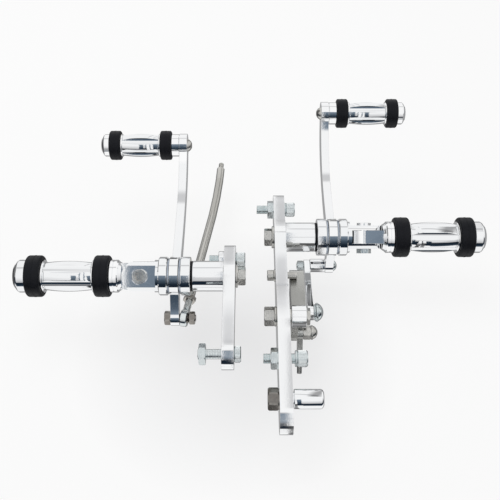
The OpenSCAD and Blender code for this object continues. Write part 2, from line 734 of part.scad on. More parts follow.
// The rod runs straight, bends gently back in small steps, and ends in a thinner threaded tip
module shift_rod() color(steel) at_shift() at_rod() {
    along_y(rod_start, rod_straight - rod_start, rod_d);
    translate([0, rod_straight, 0]) rod_run(rod_bends);
}

module rod_run(left) {
    step = (rod_len - rod_straight) / rod_bends;
    sphere(d = rod_d + 0.02);
    rotate([0, 0, -rod_bend / rod_bends]) if (left > 1) {
        along_y(0, step, rod_d);
        translate([0, step, 0]) rod_run(left - 1);
    } else {
        along_y(0, step - tip_len, rod_d);
        along_y(0, step, rod_d * 0.62);
    }
}

// Brake linkage: pedal tail, link, crank and push rod

module at_pedal_tail(u) translate([u, -brake_tail_y, -brake_tail_z]) children();
module at_crank_eye(u) translate([u, -crank_eye_y, -crank_eye_z]) children();
module at_output(u) translate([u, -output_y, -output_z]) children();

module pedal_link_bolt() color(steel) at_brake() at_pedal_tail(0) {
    bar(link_u - 8, toe_u + 8.5 - link_u, link_bolt_d);
    hex(link_u - side_play - 7, 7, 10);
    dome(toe_u, 13, 4.5);
}

module link_spacer() color(alu) at_brake() at_pedal_tail(0)
    ring(spacer_u, lever_u - spacer_u, 15, link_bolt_d);

// Flat link between the pedal's tail and the crank, waisted between its eyes
module brake_link() color(alu) at_brake() {
    dy = brake_tail_y - crank_eye_y;
    dz = brake_tail_z - crank_eye_z;
    len = norm([dy, dz]);
    difference() {
        translate([0, -brake_tail_y, -brake_tail_z]) rotate([atan2(dz, dy), 0, 0]) slab(link_u, link_t) {
            circle(d = link_w);
            translate([len, 0]) circle(d = eye_d);
            for (side = [-1, 1])
                polygon([[0, 0], [0, side * link_w / 2], [len * 0.3, side * link_w * 0.4],
                         [len * 0.7, side * link_w * 0.4], [len, side * eye_d / 2], [len, 0]]);
        }
        at_pedal_tail(0) bar(link_u - 1, link_t + 2, link_bolt_d + 2 * run_fit);
        at_crank_eye(0) bar(link_u - 1, link_t + 2, crank_pin_d + 2 * open_eye_fit);
    }
}

// One cast piece: hub, stop arm, link eye and push rod eye
module brake_crank() color(alu_grey) at_brake() difference() {
    union() {
        translate([0, -crank_y, 0]) bar(crank_gap, crank_t, crank_hub_d);
        slab(crank_gap, crank_t) {
            translate([-stop_arm_y, stop_arm_z]) circle(r = stop_arm_r);
            polygon([[-crank_y, crank_hub_d / 2 - 1], [-crank_y + crank_hub_d / 2, stop_arm_z + stop_arm_r],
                     [-stop_arm_y, stop_arm_z + stop_arm_r], [-stop_arm_y, stop_arm_z - stop_arm_r],
                     [-crank_y + crank_hub_d / 2, -crank_hub_d / 2 + 1], [-crank_y, -crank_hub_d / 2]]);
        }
        slab(crank_gap, lower_t) {
            translate([-crank_eye_y, -crank_eye_z]) circle(d = eye_d);
            translate([-output_y, -output_z]) circle(d = eye_d);
            polygon([[-crank_y - 8, -4], [-stop_arm_y - 6, stop_arm_z - 4],
                     [-crank_eye_y + 8, -crank_eye_z + 2], [-crank_eye_y, -crank_eye_z - 8],
                     [-output_y, -output_z - 8], [-output_y - 8, -output_z]]);
        }
        at_crank_eye(crank_gap) bar(0, link_u - side_play - crank_gap, eye_d - 3);
    }
    translate([0, -crank_y, 0]) bar(crank_gap - 1, crank_t + 2, crank_bolt_d + 2 * run_fit);
    at_crank_eye(0) bar(crank_gap - 1, link_u, crank_pin_d + 2 * run_fit);
    at_output(0) bar(crank_gap - 1, lower_t + 2, link_bolt_d + 2 * run_fit);
}

module crank_pivot_bolt() color(zinc) at_brake() translate([0, -crank_y, 0]) {
    bar(-plate_t - 1, plate_t + crank_gap + crank_t + 5, crank_bolt_d);
    bar(0, crank_gap - side_play, crank_bolt_d + 6);
    disc(-plate_t - bolt_washer_t, bolt_washer_t, nut_af + 2, 0.4);
    hex(-plate_t - bolt_washer_t - 10, 10, nut_af - 1);
    hex(crank_gap + crank_t + side_play, 3.5, nut_af - 3, 0.6);
}

module crank_link_bolt() color(zinc) at_brake() at_crank_eye(0) {
    bar(crank_gap, dome_u - crank_gap + 1, crank_pin_d);
    disc(dome_u - 2, 2, dome_d - 3, 0.4);
    disc(dome_u, 3, dome_d, 0.6);
    dome(dome_u + 3, dome_d - 1.5, 5.5);
}

// Flat eye on the crank's output pin, with a round rod that leaves down and back
module push_rod() color(alu_grey) at_brake() at_output(0) difference() {
    union() {
        slab(push_u, push_t) {
            circle(d = eye_d - 2);
            rotate(push_tilt) translate([-push_len, -push_w / 2]) square([push_len, push_w]);
        }
        rotate([push_tilt, 0, 0]) translate([push_u + push_t / 2, 5 - push_len, 0])
            rotate([90, 0, 0]) cylinder(d = push_rod_d, h = 15);
    }
    bar(push_u - 1, push_t + 2, link_bolt_d + 2 * run_fit);
}

module push_rod_bolt() color(steel) at_brake() at_output(0) {
    bar(crank_gap, push_head_u - crank_gap + 2, link_bolt_d);
    hex(push_head_u, 8, 13);
    disc(push_head_u + 8, 2, 15, 0.3);
    dome(push_head_u + 10, 14, 5);
}

module crank_stop_screw() color(steel) at_brake() translate([0, -stop_y, stop_z]) {
    bar(-plate_t - 1, plate_t + crank_gap + crank_t * 0.55, stop_d);
    disc(-plate_t - 1.5, 1.5, 13, 0.3);
    socket_small(-plate_t - 1.5);
}

module socket_small(u) difference() {
    disc(u - 7, 7, 11, 0.6);
    translate([u - 8, 0, 0]) rotate([0, 90, 0]) cylinder(r = 3.2, h = 4.5, $fn = 6);
}

// Polished stand-off post, its stud and the nut behind the plate
module stand_off_post() color(alu) at_brake() translate([0, -post_y, 0]) {
    bar(-plate_t - post_stud, plate_t + post_stud + post_washer_t, bolt_d);
    nut_solid(-plate_t - post_stud, post_stud, nut_af);
    disc(0, post_washer_t, post_washer_d, 0.3);
    turned(post_washer_t) polygon([[0, 0], [post_d / 2 - 0.5, 0], [post_d / 2, 0.5], [post_d / 2, post_len - 2.5],
        [post_d / 2 - 0.8, post_len - 1], [post_d / 2 - 2.5, post_len], [0, post_len]]);
}

module nut_solid(u, t, af) hex(u, t, af, 1.2);

left_plate();
left_front_bolt();
left_front_nut();
left_rear_bolt();
left_rear_nut();
left_axle_bolt();
left_axle_washer();
left_pivot_tube();
left_seal_ring();
left_collar();
left_thrust_washers();
left_clevis();
left_peg_pin();
left_peg_nut();
left_peg();
left_peg_inner_ring();
left_peg_outer_ring();
left_peg_cap();
shift_lever();
left_toe_peg();
left_toe_rings();
left_toe_bolt();
at_shift() shift_link_bolt();
at_shift() shift_link_nut();
at_shift() rod_end_ball();
shift_rod_end();
shift_rod();
rod_jam_nut();
right_plate();
right_front_bolt();
right_front_nut();
right_rear_bolt();
right_rear_nut();
right_axle_bolt();
right_axle_washer();
right_pivot_tube();
right_seal_ring();
right_collar();
right_thrust_washers();
right_clevis();
right_peg_pin();
right_peg_nut();
right_peg();
right_peg_inner_ring();
right_peg_outer_ring();
right_peg_cap();
brake_pedal();
right_toe_peg();
right_toe_rings();
right_toe_bolt();
pedal_link_bolt();
link_spacer();
brake_link();
brake_crank();
crank_pivot_bolt();
crank_link_bolt();
push_rod();
push_rod_bolt();
crank_stop_screw();
stand_off_post();
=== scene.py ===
# Forward controls for a motorcycle: finishes, threads and knurls around the imported model
import bpy
import bmesh
import json
import math
import random
from mathutils import Matrix, Vector


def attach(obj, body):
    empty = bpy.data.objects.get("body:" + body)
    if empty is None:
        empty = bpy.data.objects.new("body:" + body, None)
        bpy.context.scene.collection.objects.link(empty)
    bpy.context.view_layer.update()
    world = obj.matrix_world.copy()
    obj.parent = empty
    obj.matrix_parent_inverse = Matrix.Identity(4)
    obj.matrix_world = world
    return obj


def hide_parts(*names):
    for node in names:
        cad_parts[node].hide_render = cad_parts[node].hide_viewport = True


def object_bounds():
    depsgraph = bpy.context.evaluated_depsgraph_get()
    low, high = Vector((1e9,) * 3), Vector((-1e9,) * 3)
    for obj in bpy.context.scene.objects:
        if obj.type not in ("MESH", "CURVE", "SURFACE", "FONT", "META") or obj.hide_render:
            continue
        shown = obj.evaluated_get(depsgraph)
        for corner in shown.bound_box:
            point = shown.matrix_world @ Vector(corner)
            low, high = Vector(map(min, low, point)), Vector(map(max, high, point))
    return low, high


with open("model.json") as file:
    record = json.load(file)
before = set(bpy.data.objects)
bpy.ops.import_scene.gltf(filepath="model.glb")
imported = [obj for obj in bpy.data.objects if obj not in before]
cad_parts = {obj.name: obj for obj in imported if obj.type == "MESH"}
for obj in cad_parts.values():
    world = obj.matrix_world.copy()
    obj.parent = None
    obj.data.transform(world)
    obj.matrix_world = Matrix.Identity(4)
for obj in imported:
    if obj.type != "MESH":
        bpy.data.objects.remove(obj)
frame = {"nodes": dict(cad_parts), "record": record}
cadBox = [list(c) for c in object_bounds()]
nodes = frame["nodes"]
bodyOf = {n: b for b, names in frame["record"]["behaviour"]["bodies"].items() for n in names}
scene = bpy.context.scene
random.seed(7)
mm = 0.001
print("frame loaded:", len(nodes), "nodes")


# camera, at the photograph's viewing angle
view = {"place": (0.015, -0.4748, 0.5888), "look": (0.0, 0.682, -0.731), "up": (0.0, 0.731, 0.682),
        "lens": 54.2, "sensor": 36}


def makeCamera():
    data = bpy.data.cameras.new("camera")
    data.lens = view["lens"]
    data.sensor_width = view["sensor"]
    data.clip_start = 0.01
    cam = bpy.data.objects.new("camera", data)
    back = -Vector(view["look"]).normalized()
    up = Vector(view["up"])
    side = up.cross(back).normalized()
    turn = Matrix((side, back.cross(side), back)).transposed()
    cam.matrix_world = Matrix.Translation(view["place"]) @ turn.to_4x4()
    scene.collection.objects.link(cam)
    scene.camera = cam


makeCamera()
print("camera set")


# node helpers

def link(tree, a, b):
    tree.links.new(a, b)


def add(tree, kind, **values):
    node = tree.nodes.new(kind)
    for name, value in values.items():
        setattr(node, name, value)
    return node


def ramp(tree, value, stops):
    node = add(tree, "ShaderNodeValToRGB")
    bar = node.color_ramp
    while len(bar.elements) < len(stops):
        bar.elements.new(0.5)
    for element, (place, color) in zip(bar.elements, stops):
        element.position = place
        element.color = (*color, 1)
    link(tree, value, node.inputs["Fac"])
    return node.outputs["Color"]


def combine(tree, what, a, b):
    node = add(tree, "ShaderNodeMath", operation=what)
    for socket, value in zip(node.inputs, (a, b)):
        if isinstance(value, (int, float)):
            socket.default_value = value
        else:
            link(tree, value, socket)
    return node.outputs["Value"]


# fine scratches and mottle that several finishes share
def makeWearGroup():
    tree = bpy.data.node_groups.new("surfaceWear", "ShaderNodeTree")
    face = tree.interface
    for name, value in (("Scale", 60.0), ("Low", 0.05), ("High", 0.15), ("Bump", 0.1)):
        face.new_socket(name, in_out="INPUT", socket_type="NodeSocketFloat").default_value = value
    face.new_socket("Vector", in_out="INPUT", socket_type="NodeSocketVector")
    face.new_socket("Roughness", in_out="OUTPUT", socket_type="NodeSocketFloat")
    face.new_socket("Mottle", in_out="OUTPUT", socket_type="NodeSocketFloat")
    face.new_socket("Normal", in_out="OUTPUT", socket_type="NodeSocketVector")
    inside = add(tree, "NodeGroupInput")
    outside = add(tree, "NodeGroupOutput")
    noise = add(tree, "ShaderNodeTexNoise")
    noise.inputs["Detail"].default_value = 5
    link(tree, inside.outputs["Vector"], noise.inputs["Vector"])
    link(tree, inside.outputs["Scale"], noise.inputs["Scale"])
    fine = add(tree, "ShaderNodeTexNoise")
    fine.inputs["Scale"].default_value = 900
    fine.inputs["Detail"].default_value = 2
    link(tree, inside.outputs["Vector"], fine.inputs["Vector"])
    spread = add(tree, "ShaderNodeMapRange")
    link(tree, noise.outputs["Fac"], spread.inputs["Value"])
    spread.inputs["From Min"].default_value = 0.3
    spread.inputs["From Max"].default_value = 0.7
    link(tree, inside.outputs["Low"], spread.inputs["To Min"])
    link(tree, inside.outputs["High"], spread.inputs["To Max"])
    bump = add(tree, "ShaderNodeBump")
    bump.inputs["Distance"].default_value = 0.0002
    link(tree, inside.outputs["Bump"], bump.inputs["Strength"])
    link(tree, fine.outputs["Fac"], bump.inputs["Height"])
    link(tree, spread.outputs["Result"], outside.inputs["Roughness"])
    link(tree, noise.outputs["Fac"], outside.inputs["Mottle"])
    link(tree, bump.outputs["Normal"], outside.inputs["Normal"])
    return tree


# random mottle darkens the colour a little, and convex edges, found from the surface's own curvature, take a
# brighter colour as a painted highlight
def makeEdgeHighlightGroup():
    tree = bpy.data.node_groups.new("paintedEdgeHighlight", "ShaderNodeTree")
    face = tree.interface
    for name, value in (("Color", (0.8, 0.8, 0.8, 1)), ("EdgeHighlight", (1, 1, 1, 1))):
        face.new_socket(name, in_out="INPUT", socket_type="NodeSocketColor").default_value = value
    face.new_socket("Mottle", in_out="INPUT", socket_type="NodeSocketFloat").default_value = 0.5
    face.new_socket("Depth", in_out="INPUT", socket_type="NodeSocketFloat").default_value = 0.15
    face.new_socket("Color", in_out="OUTPUT", socket_type="NodeSocketColor")
    inside = add(tree, "NodeGroupInput")
    outside = add(tree, "NodeGroupOutput")
    shape = add(tree, "ShaderNodeNewGeometry")
    edge = add(tree, "ShaderNodeMapRange")
    edge.inputs["From Min"].default_value = 0.52
    edge.inputs["From Max"].default_value = 0.6
    link(tree, shape.outputs["Pointiness"], edge.inputs["Value"])
    stain = add(tree, "ShaderNodeMix", data_type="RGBA", blend_type="MULTIPLY")
    link(tree, inside.outputs["Depth"], stain.inputs["Factor"])
    link(tree, inside.outputs["Color"], stain.inputs["A"])
    link(tree, inside.outputs["Mottle"], stain.inputs["B"])
    # convex edges mix to the brighter edge colour, a painted highlight
    paintedHighlight = add(tree, "ShaderNodeMix", data_type="RGBA")
    link(tree, edge.outputs["Result"], paintedHighlight.inputs["Factor"])
    link(tree, stain.outputs["Result"], paintedHighlight.inputs["A"])
    link(tree, inside.outputs["EdgeHighlight"], paintedHighlight.inputs["B"])
    link(tree, paintedHighlight.outputs["Result"], outside.inputs["Color"])
    return tree


wearGroup = makeWearGroup()
edgeHighlightGroup = makeEdgeHighlightGroup()

# in each finish, edge is the brighter colour that convex edges take as a painted highlight
finishes = {
    "polishedAlloy": {"color": (0.90, 0.91, 0.92), "edge": (0.97, 0.97, 0.97), "metal": 1.0, "scale": 35,
                      "low": 0.02, "high": 0.06, "bump": 0.02, "depth": 0.06},
    "brightWasher": {"color": (0.44, 0.49, 0.56), "edge": (0.72, 0.76, 0.80), "metal": 1.0, "scale": 60,
                     "low": 0.16, "high": 0.26, "bump": 0.06, "depth": 0.10},
    "castAlloy": {"color": (0.46, 0.46, 0.44), "edge": (0.95, 0.95, 0.93), "metal": 1.0, "scale": 90,
                  "low": 0.20, "high": 0.32, "bump": 0.35, "depth": 0.35},
    "satinRod": {"color": (0.52, 0.51, 0.48), "edge": (0.66, 0.65, 0.62), "metal": 1.0, "scale": 45,
                 "low": 0.16, "high": 0.24, "bump": 0.10, "depth": 0.20},
    "darkSteel": {"color": (0.66, 0.65, 0.62), "edge": (0.92, 0.91, 0.88), "metal": 1.0, "scale": 140,
                  "low": 0.06, "high": 0.16, "bump": 0.12, "depth": 0.45},
    "zincPlate": {"color": (0.74, 0.80, 0.81), "edge": (0.93, 0.96, 0.96), "metal": 1.0, "scale": 190,
                  "low": 0.08, "high": 0.20, "bump": 0.16, "depth": 0.35},
    "blueZinc": {"color": (0.30, 0.47, 0.52), "edge": (0.62, 0.76, 0.78), "metal": 1.0, "scale": 150,
                 "low": 0.12, "high": 0.22, "bump": 0.10, "depth": 0.35},
    "agedSteel": {"color": (0.25, 0.23, 0.21), "edge": (0.82, 0.79, 0.74), "metal": 1.0, "scale": 150,
                  "low": 0.08, "high": 0.20, "bump": 0.14, "depth": 0.50},
}


def makeMetal(name):
    look = finishes[name]
    mat = bpy.data.materials.new(name)
    mat.use_nodes = True
    tree = mat.node_tree
    shader = tree.nodes["Principled BSDF"]
    shader.inputs["Metallic"].default_value = look["metal"]
    place = add(tree, "ShaderNodeTexCoord")
    wear = add(tree, "ShaderNodeGroup", node_tree=wearGroup)
    link(tree, place.outputs["Object"], wear.inputs["Vector"])
    wear.inputs["Scale"].default_value = look["scale"]
    wear.inputs["Low"].default_value = look["low"]
    wear.inputs["High"].default_value = look["high"]
    wear.inputs["Bump"].default_value = look["bump"]
    edge = add(tree, "ShaderNodeGroup", node_tree=edgeHighlightGroup)
    edge.inputs["Color"].default_value = (*look["color"], 1)
    # the finish's edge colour is a painted highlight on convex edges
    edge.inputs["EdgeHighlight"].default_value = (*look["edge"], 1)
    edge.inputs["Depth"].default_value = look["depth"]
    link(tree, wear.outputs["Mottle"], edge.inputs["Mottle"])
    link(tree, edge.outputs["Color"], shader.inputs["Base Color"])
    link(tree, wear.outputs["Roughness"], shader.inputs["Roughness"])
    link(tree, wear.outputs["Normal"], shader.inputs["Normal"])
    return mat


rubberLook = {"color": (0.0025, 0.003, 0.005), "dust": (0.010, 0.011, 0.015), "scale": 260, "rough": (0.34, 0.50),
              "gloss": 0.16}


def makeRubber():
    mat = bpy.data.materials.new("blackRubber")
    mat.use_nodes = True
    tree = mat.node_tree
    shader = tree.nodes["Principled BSDF"]
    shader.inputs["Specular IOR Level"].default_value = rubberLook["gloss"]
    place = add(tree, "ShaderNodeTexCoord")
    wear = add(tree, "ShaderNodeGroup", node_tree=wearGroup)
    link(tree, place.outputs["Object"], wear.inputs["Vector"])
    wear.inputs["Scale"].default_value = rubberLook["scale"]
    wear.inputs["Low"].default_value = rubberLook["rough"][0]
    wear.inputs["High"].default_value = rubberLook["rough"][1]
    wear.inputs["Bump"].default_value = 0.35
    dust = add(tree, "ShaderNodeMix", data_type="RGBA")
    dust.inputs["A"].default_value = (*rubberLook["color"], 1)
    dust.inputs["B"].default_value = (*rubberLook["dust"], 1)
    link(tree, wear.outputs["Mottle"], dust.inputs["Factor"])
    link(tree, dust.outputs["Result"], shader.inputs["Base Color"])
    link(tree, wear.outputs["Roughness"], shader.inputs["Roughness"])
    link(tree, wear.outputs["Normal"], shader.inputs["Normal"])
    return mat


mats = {name: makeMetal(name) for name in finishes}
mats["blackRubber"] = makeRubber()
print("materials:", ", ".join(mats))


# which finish each kind of piece takes
def finishOf(node):
    if "ring" in node and "spring" not in node:
        return "blackRubber"
    if "thrust_washers" in node:
        return "brightWasher"
    if node in ("brake_crank", "push_rod"):
        return "castAlloy"
    if node == "shift_rod":
        return "satinRod"
    if node in ("shift_link_bolt", "shift_link_nut", "rod_jam_nut", "rod_end_ball"):
        return "agedSteel"
    if node in ("left_axle_bolt", "left_axle_washer", "right_axle_bolt", "right_axle_washer", "left_peg_pin",
                "left_peg_nut", "crank_pivot_bolt", "push_rod_bolt", "crank_stop_screw", "left_toe_bolt",
                "right_toe_bolt"):
        return "darkSteel"
    if node.endswith(("_bolt", "_nut", "_end")) and node != "left_front_nut":
        return "zincPlate"
    return "polishedAlloy"


# two pieces show a second finish: the post's nut and washer, inboard of an X, and the crank's machined hub
second = {"stand_off_post": {"look": "agedSteel", "inboard": 0.041},
          "brake_crank": {"look": "polishedAlloy", "joint": "crank_pivot", "radius": 0.011, "within": 0.0001}}


def takesSecond(node, face):
    look = second.get(node)
    if look is None:
        return False
    if "inboard" in look:
        return face.calc_center_median().x < look["inboard"]
    x, y, z = next(j for j in frame["record"]["behaviour"]["joints"] if j["name"] == look["joint"])["pos_m"]
    return all(abs(math.hypot(v.co.y - y, v.co.z - z) - look["radius"]) < look["within"] for v in face.verts)


# softened edges: each solid is copied and merged, and all but the plain ones are given a small bevel that its own
# size allows
soft = {"mergeGap": 0.00001, "sharpAngle": 32, "bevelWidth": 0.35, "castBevel": 0.8, "segments": 2}
plainNodes = ("left_seal_ring", "right_seal_ring", "left_toe_rings", "right_toe_rings", "left_peg_inner_ring",
              "left_peg_outer_ring", "right_peg_inner_ring", "right_peg_outer_ring", "left_peg", "right_peg",
              "left_toe_peg", "right_toe_peg", "shift_rod", "rod_end_ball", "shift_rod_end")


def softenedCopy(node):
    source = nodes[node]
    mesh = source.data.copy()
    mesh.name = node + "_finished"
    mesh.materials.clear()
    mesh.materials.append(mats[finishOf(node)])
    if node in second:
        mesh.materials.append(mats[second[node]["look"]])
    bm = bmesh.new()
    bm.from_mesh(mesh)
    bmesh.ops.remove_doubles(bm, verts=bm.verts, dist=soft["mergeGap"])
    bmesh.ops.dissolve_limit(bm, angle_limit=math.radians(0.5), verts=bm.verts, edges=bm.edges)
    sharp = math.radians(soft["sharpAngle"])
    for e in bm.edges:
        e.smooth = not (len(e.link_faces) == 2 and e.calc_face_angle(0) > sharp)
    for f in bm.faces:
        f.smooth = True
        f.material_index = int(takesSecond(node, f))
    bm.to_mesh(mesh)
    bm.free()
    piece = bpy.data.objects.new(node + "_finished", mesh)
    scene.collection.objects.link(piece)
    if node not in plainNodes:
        bevel = piece.modifiers.new("softEdges", "BEVEL")
        bevel.width = soft["castBevel" if finishOf(node) == "castAlloy" else "bevelWidth"] * mm
        bevel.segments = soft["segments"]
        bevel.limit_method = "ANGLE"
        bevel.angle_limit = sharp
        bevel.use_clamp_overlap = True
        bevel.harden_normals = True
    return piece


def finishPieces():
    made = {}
    for node in nodes:
        piece = softenedCopy(node)
        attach(piece, bodyOf[node])
        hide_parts(node)
        made[node] = piece
    return made


pieces = finishPieces()
print("finished pieces:", len(pieces))


# places: a side, an outward distance from its plate, and Y and Z from its foot peg's axis, in millimetres
sides = {"shift": {"plate": -12.0, "out": -1, "hub": 37.5}, "brake": {"plate": 53.0, "out": 1, "hub": 93.5}}


def spot(side, u, y, z):
    s = sides[side]
    return Vector((s["plate"] + s["out"] * u, s["hub"] + y, z)) * mm


# one shared node tree cuts a screw thread: a helical ridge along +Z
def makeThreadTree():
    tree = bpy.data.node_groups.new("screwThread", "GeometryNodeTree")
    face = tree.interface
    face.new_socket("Geometry", in_out="INPUT", socket_type="NodeSocketGeometry")
    for name, value in (("Radius", 0.00475), ("Pitch", 0.0015), ("Length", 0.01), ("Ridge", 0.0004)):
        face.new_socket(name, in_out="INPUT", socket_type="NodeSocketFloat").default_value = value
    face.new_socket("Finish", in_out="INPUT", socket_type="NodeSocketMaterial")
    face.new_socket("Geometry", in_out="OUTPUT", socket_type="NodeSocketGeometry")
    inside = add(tree, "NodeGroupInput")
    outside = add(tree, "NodeGroupOutput")
    turns = combine(tree, "DIVIDE", inside.outputs["Length"], inside.outputs["Pitch"])
    spiral = add(tree, "GeometryNodeCurveSpiral")
    spiral.inputs["Resolution"].default_value = 24
    link(tree, turns, spiral.inputs["Rotations"])
    link(tree, inside.outputs["Radius"], spiral.inputs["Start Radius"])
    link(tree, inside.outputs["Radius"], spiral.inputs["End Radius"])
    link(tree, inside.outputs["Length"], spiral.inputs["Height"])
    wire = add(tree, "GeometryNodeCurvePrimitiveCircle")
    wire.inputs["Resolution"].default_value = 4
    link(tree, inside.outputs["Ridge"], wire.inputs["Radius"])
    sweep = add(tree, "GeometryNodeCurveToMesh")
    link(tree, spiral.outputs["Curve"], sweep.inputs["Curve"])
    link(tree, wire.outputs["Curve"], sweep.inputs["Profile Curve"])
    sweep.inputs["Fill Caps"].default_value = True
    real = add(tree, "GeometryNodeRealizeInstances")
    link(tree, sweep.outputs["Mesh"], real.inputs["Geometry"])
    paint = add(tree, "GeometryNodeSetMaterial")
    link(tree, real.outputs["Geometry"], paint.inputs["Geometry"])
    link(tree, inside.outputs["Finish"], paint.inputs["Material"])
    link(tree, paint.outputs["Geometry"], outside.inputs["Geometry"])
    return tree


# another tree stands straight knurls round a socket head
def makeKnurlTree():
    tree = bpy.data.node_groups.new("straightKnurl", "GeometryNodeTree")
    face = tree.interface
    face.new_socket("Geometry", in_out="INPUT", socket_type="NodeSocketGeometry")
    face.new_socket("Count", in_out="INPUT", socket_type="NodeSocketInt").default_value = 36
    for name, value in (("Radius", 0.0077), ("Height", 0.008), ("Ridge", 0.0004)):
        face.new_socket(name, in_out="INPUT", socket_type="NodeSocketFloat").default_value = value
    face.new_socket("Finish", in_out="INPUT", socket_type="NodeSocketMaterial")
    face.new_socket("Geometry", in_out="OUTPUT", socket_type="NodeSocketGeometry")
    inside = add(tree, "NodeGroupInput")
    outside = add(tree, "NodeGroupOutput")
    circle = add(tree, "GeometryNodeMeshCircle")
    link(tree, inside.outputs["Count"], circle.inputs["Vertices"])
    link(tree, inside.outputs["Radius"], circle.inputs["Radius"])
    ridge = add(tree, "GeometryNodeMeshCylinder")
    ridge.inputs["Vertices"].default_value = 4
    link(tree, inside.outputs["Ridge"], ridge.inputs["Radius"])
    link(tree, inside.outputs["Height"], ridge.inputs["Depth"])
    which = add(tree, "GeometryNodeInputIndex")
    step = combine(tree, "DIVIDE", 2 * math.pi, inside.outputs["Count"])
    angle = combine(tree, "MULTIPLY", which.outputs["Index"], step)
    turn = add(tree, "ShaderNodeCombineXYZ")
    link(tree, angle, turn.inputs["Z"])
    place = add(tree, "GeometryNodeInstanceOnPoints")
    link(tree, circle.outputs["Mesh"], place.inputs["Points"])
    link(tree, ridge.outputs["Mesh"], place.inputs["Instance"])
    link(tree, turn.outputs["Vector"], place.inputs["Rotation"])
    real = add(tree, "GeometryNodeRealizeInstances")
    link(tree, place.outputs["Instances"], real.inputs["Geometry"])
    paint = add(tree, "GeometryNodeSetMaterial")
    link(tree, real.outputs["Geometry"], paint.inputs["Geometry"])
    link(tree, inside.outputs["Finish"], paint.inputs["Material"])
    link(tree, paint.outputs["Geometry"], outside.inputs["Geometry"])
    return tree


threadTree = makeThreadTree()
knurlTree = makeKnurlTree()


# runs a tree once, turns the result into a plain mesh and lays its +Z along a direction from a point
def fromTree(name, tree, values, start, along, node):
    holder = bpy.data.objects.new(name + "_maker", bpy.data.meshes.new(name + "_maker"))
    scene.collection.objects.link(holder)
    modifier = holder.modifiers.new("nodes", "NODES")
    modifier.node_group = tree
    sockets = {i.name: i.identifier for i in tree.interface.items_tree if i.in_out == "INPUT"}
    for key, value in values.items():
        modifier[sockets[key]] = value
    modifier[sockets["Finish"]] = values["Finish"]
    bpy.context.view_layer.update()
    seen = holder.evaluated_get(bpy.context.evaluated_depsgraph_get())
    mesh = bpy.data.meshes.new_from_object(seen)
    mesh.name = name
    bpy.data.objects.remove(holder)
    turn = Vector(along).to_track_quat("Z", "Y").to_matrix().to_4x4()
    mesh.transform(Matrix.Translation(start) @ turn)
    if not mesh.materials:
        mesh.materials.append(values["Finish"])
    piece = bpy.data.objects.new(name, mesh)
    scene.collection.objects.link(piece)
    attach(piece, bodyOf[node])
    return piece


# threads: node, side, from, to (outward distance), Y from the peg axis, radius of the shank, finish
threads = {
    "leftFrontThread": ("left_front_bolt", "shift", 6.2, 15.8, 23, 4.5, "blueZinc"),
    "leftRearThread": ("left_rear_bolt", "shift", 0.3, 14.8, -98, 4.7, "zincPlate"),
    "rightFrontThread": ("right_front_bolt", "brake", -30.2, -18.8, 43, 4.5, "blueZinc"),
    "rightRearThread": ("right_rear_bolt", "brake", -25.3, -18.8, -159, 4.5, "blueZinc"),
    "rightRearShank": ("right_rear_bolt", "brake", 0.2, 4.2, -159, 4.7, "blueZinc"),
}
threadPitch = 1.5
threadRidge = 0.32
finePitch = 1.0
fineRidge = 0.22


def makeThread(name, start, end, radius, pitch, ridge, look, node):
    values = {"Radius": radius * mm, "Pitch": pitch * mm, "Length": (end - start).length,
              "Ridge": ridge * mm, "Finish": mats[look]}
    fromTree(name, threadTree, values, start, end - start, node)


def makeThreads():
    for name, (node, side, low, high, y, radius, look) in threads.items():
        makeThread(name, spot(side, low, y, 0), spot(side, high, y, 0), radius, threadPitch, threadRidge, look, node)
    # the shift rod's fine threads: its tip, and the rod end's shank between its eye and the jam nut
    tip = next(m for m in frame["record"]["mounts"] if m["name"] == "shift_rod_tip")
    along, half = Vector(tip["axis"]), tip["dims"]["length_mm"] * mm / 2
    middle = Vector(tip["pos_m"])
    makeThread("rodTipThread", middle - along * half * 0.96, middle + along * half * 0.94, tip["dims"]["r_mm"],
               finePitch, fineRidge, "satinRod", "shift_rod")
    eye = Vector(next(j for j in frame["record"]["behaviour"]["joints"] if j["name"] == "rod_swivel")["pos_m"])
    lean = Vector((math.sin(math.radians(rodEnd["yaw"])), math.cos(math.radians(rodEnd["yaw"])), 0))
    makeThread("rodEndThread", eye + lean * rodEnd["from"] * mm, eye + lean * rodEnd["to"] * mm, rodEnd["radius"],
               finePitch, fineRidge, "darkSteel", "shift_rod_end")


rodEnd = {"yaw": 9, "from": 10, "to": 22.5, "radius": 3.75}

# knurled socket heads: node, side, middle of the head, Y, radius, height
knurls = {
    "leftFrontKnurl": ("left_front_bolt", "shift", -17.3, 23, 7.75, 7.5),
    "leftRearKnurl": ("left_rear_bolt", "shift", -15.4, -98, 7.75, 4.4),
    "rightFrontKnurl": ("right_front_bolt", "brake", 6.7, 43, 7.75, 7.5),
    "rightRearKnurl": ("right_rear_bolt", "brake", 11.1, -159, 7.75, 7.5),
}
knurlCount = 40
knurlRidge = 0.38


def makeKnurls():
    for name, (node, side, u, y, radius, height) in knurls.items():
        values = {"Count": knurlCount, "Radius": (radius - 0.1) * mm, "Height": height * mm,
                  "Ridge": knurlRidge * mm, "Finish": mats["zincPlate"]}
        fromTree(name, knurlTree, values, spot(side, u, y, 0), (sides[side]["out"], 0, 0), node)


makeThreads()
makeKnurls()
print("threads and knurls made")


# studio: polished metal sees a white room, darker behind the camera, so each zone of directions has its own bands
# floorShade, shadeFrom and shadeTo set the painted shade under the middle of the floor
studio = {"floorDrop": 0.004, "floorSize": 8.0, "floorGlow": 0.8, "floorShade": 0.80, "shadeFrom": 0.03,
          "shadeTo": 0.19, "fill": 0.62, "lampPower": 9.0, "lampSize": 1.4, "lampPlace": (-0.5, 0.5, 1.6),
          "middle": 0.007}
white = (1.0, 1.0, 1.0)
navy = (0.010, 0.018, 0.030)
steelBlue = (0.055, 0.080, 0.110)
slate = (0.20, 0.25, 0.31)


def grey(value):
    return (value, value, value * 1.01)


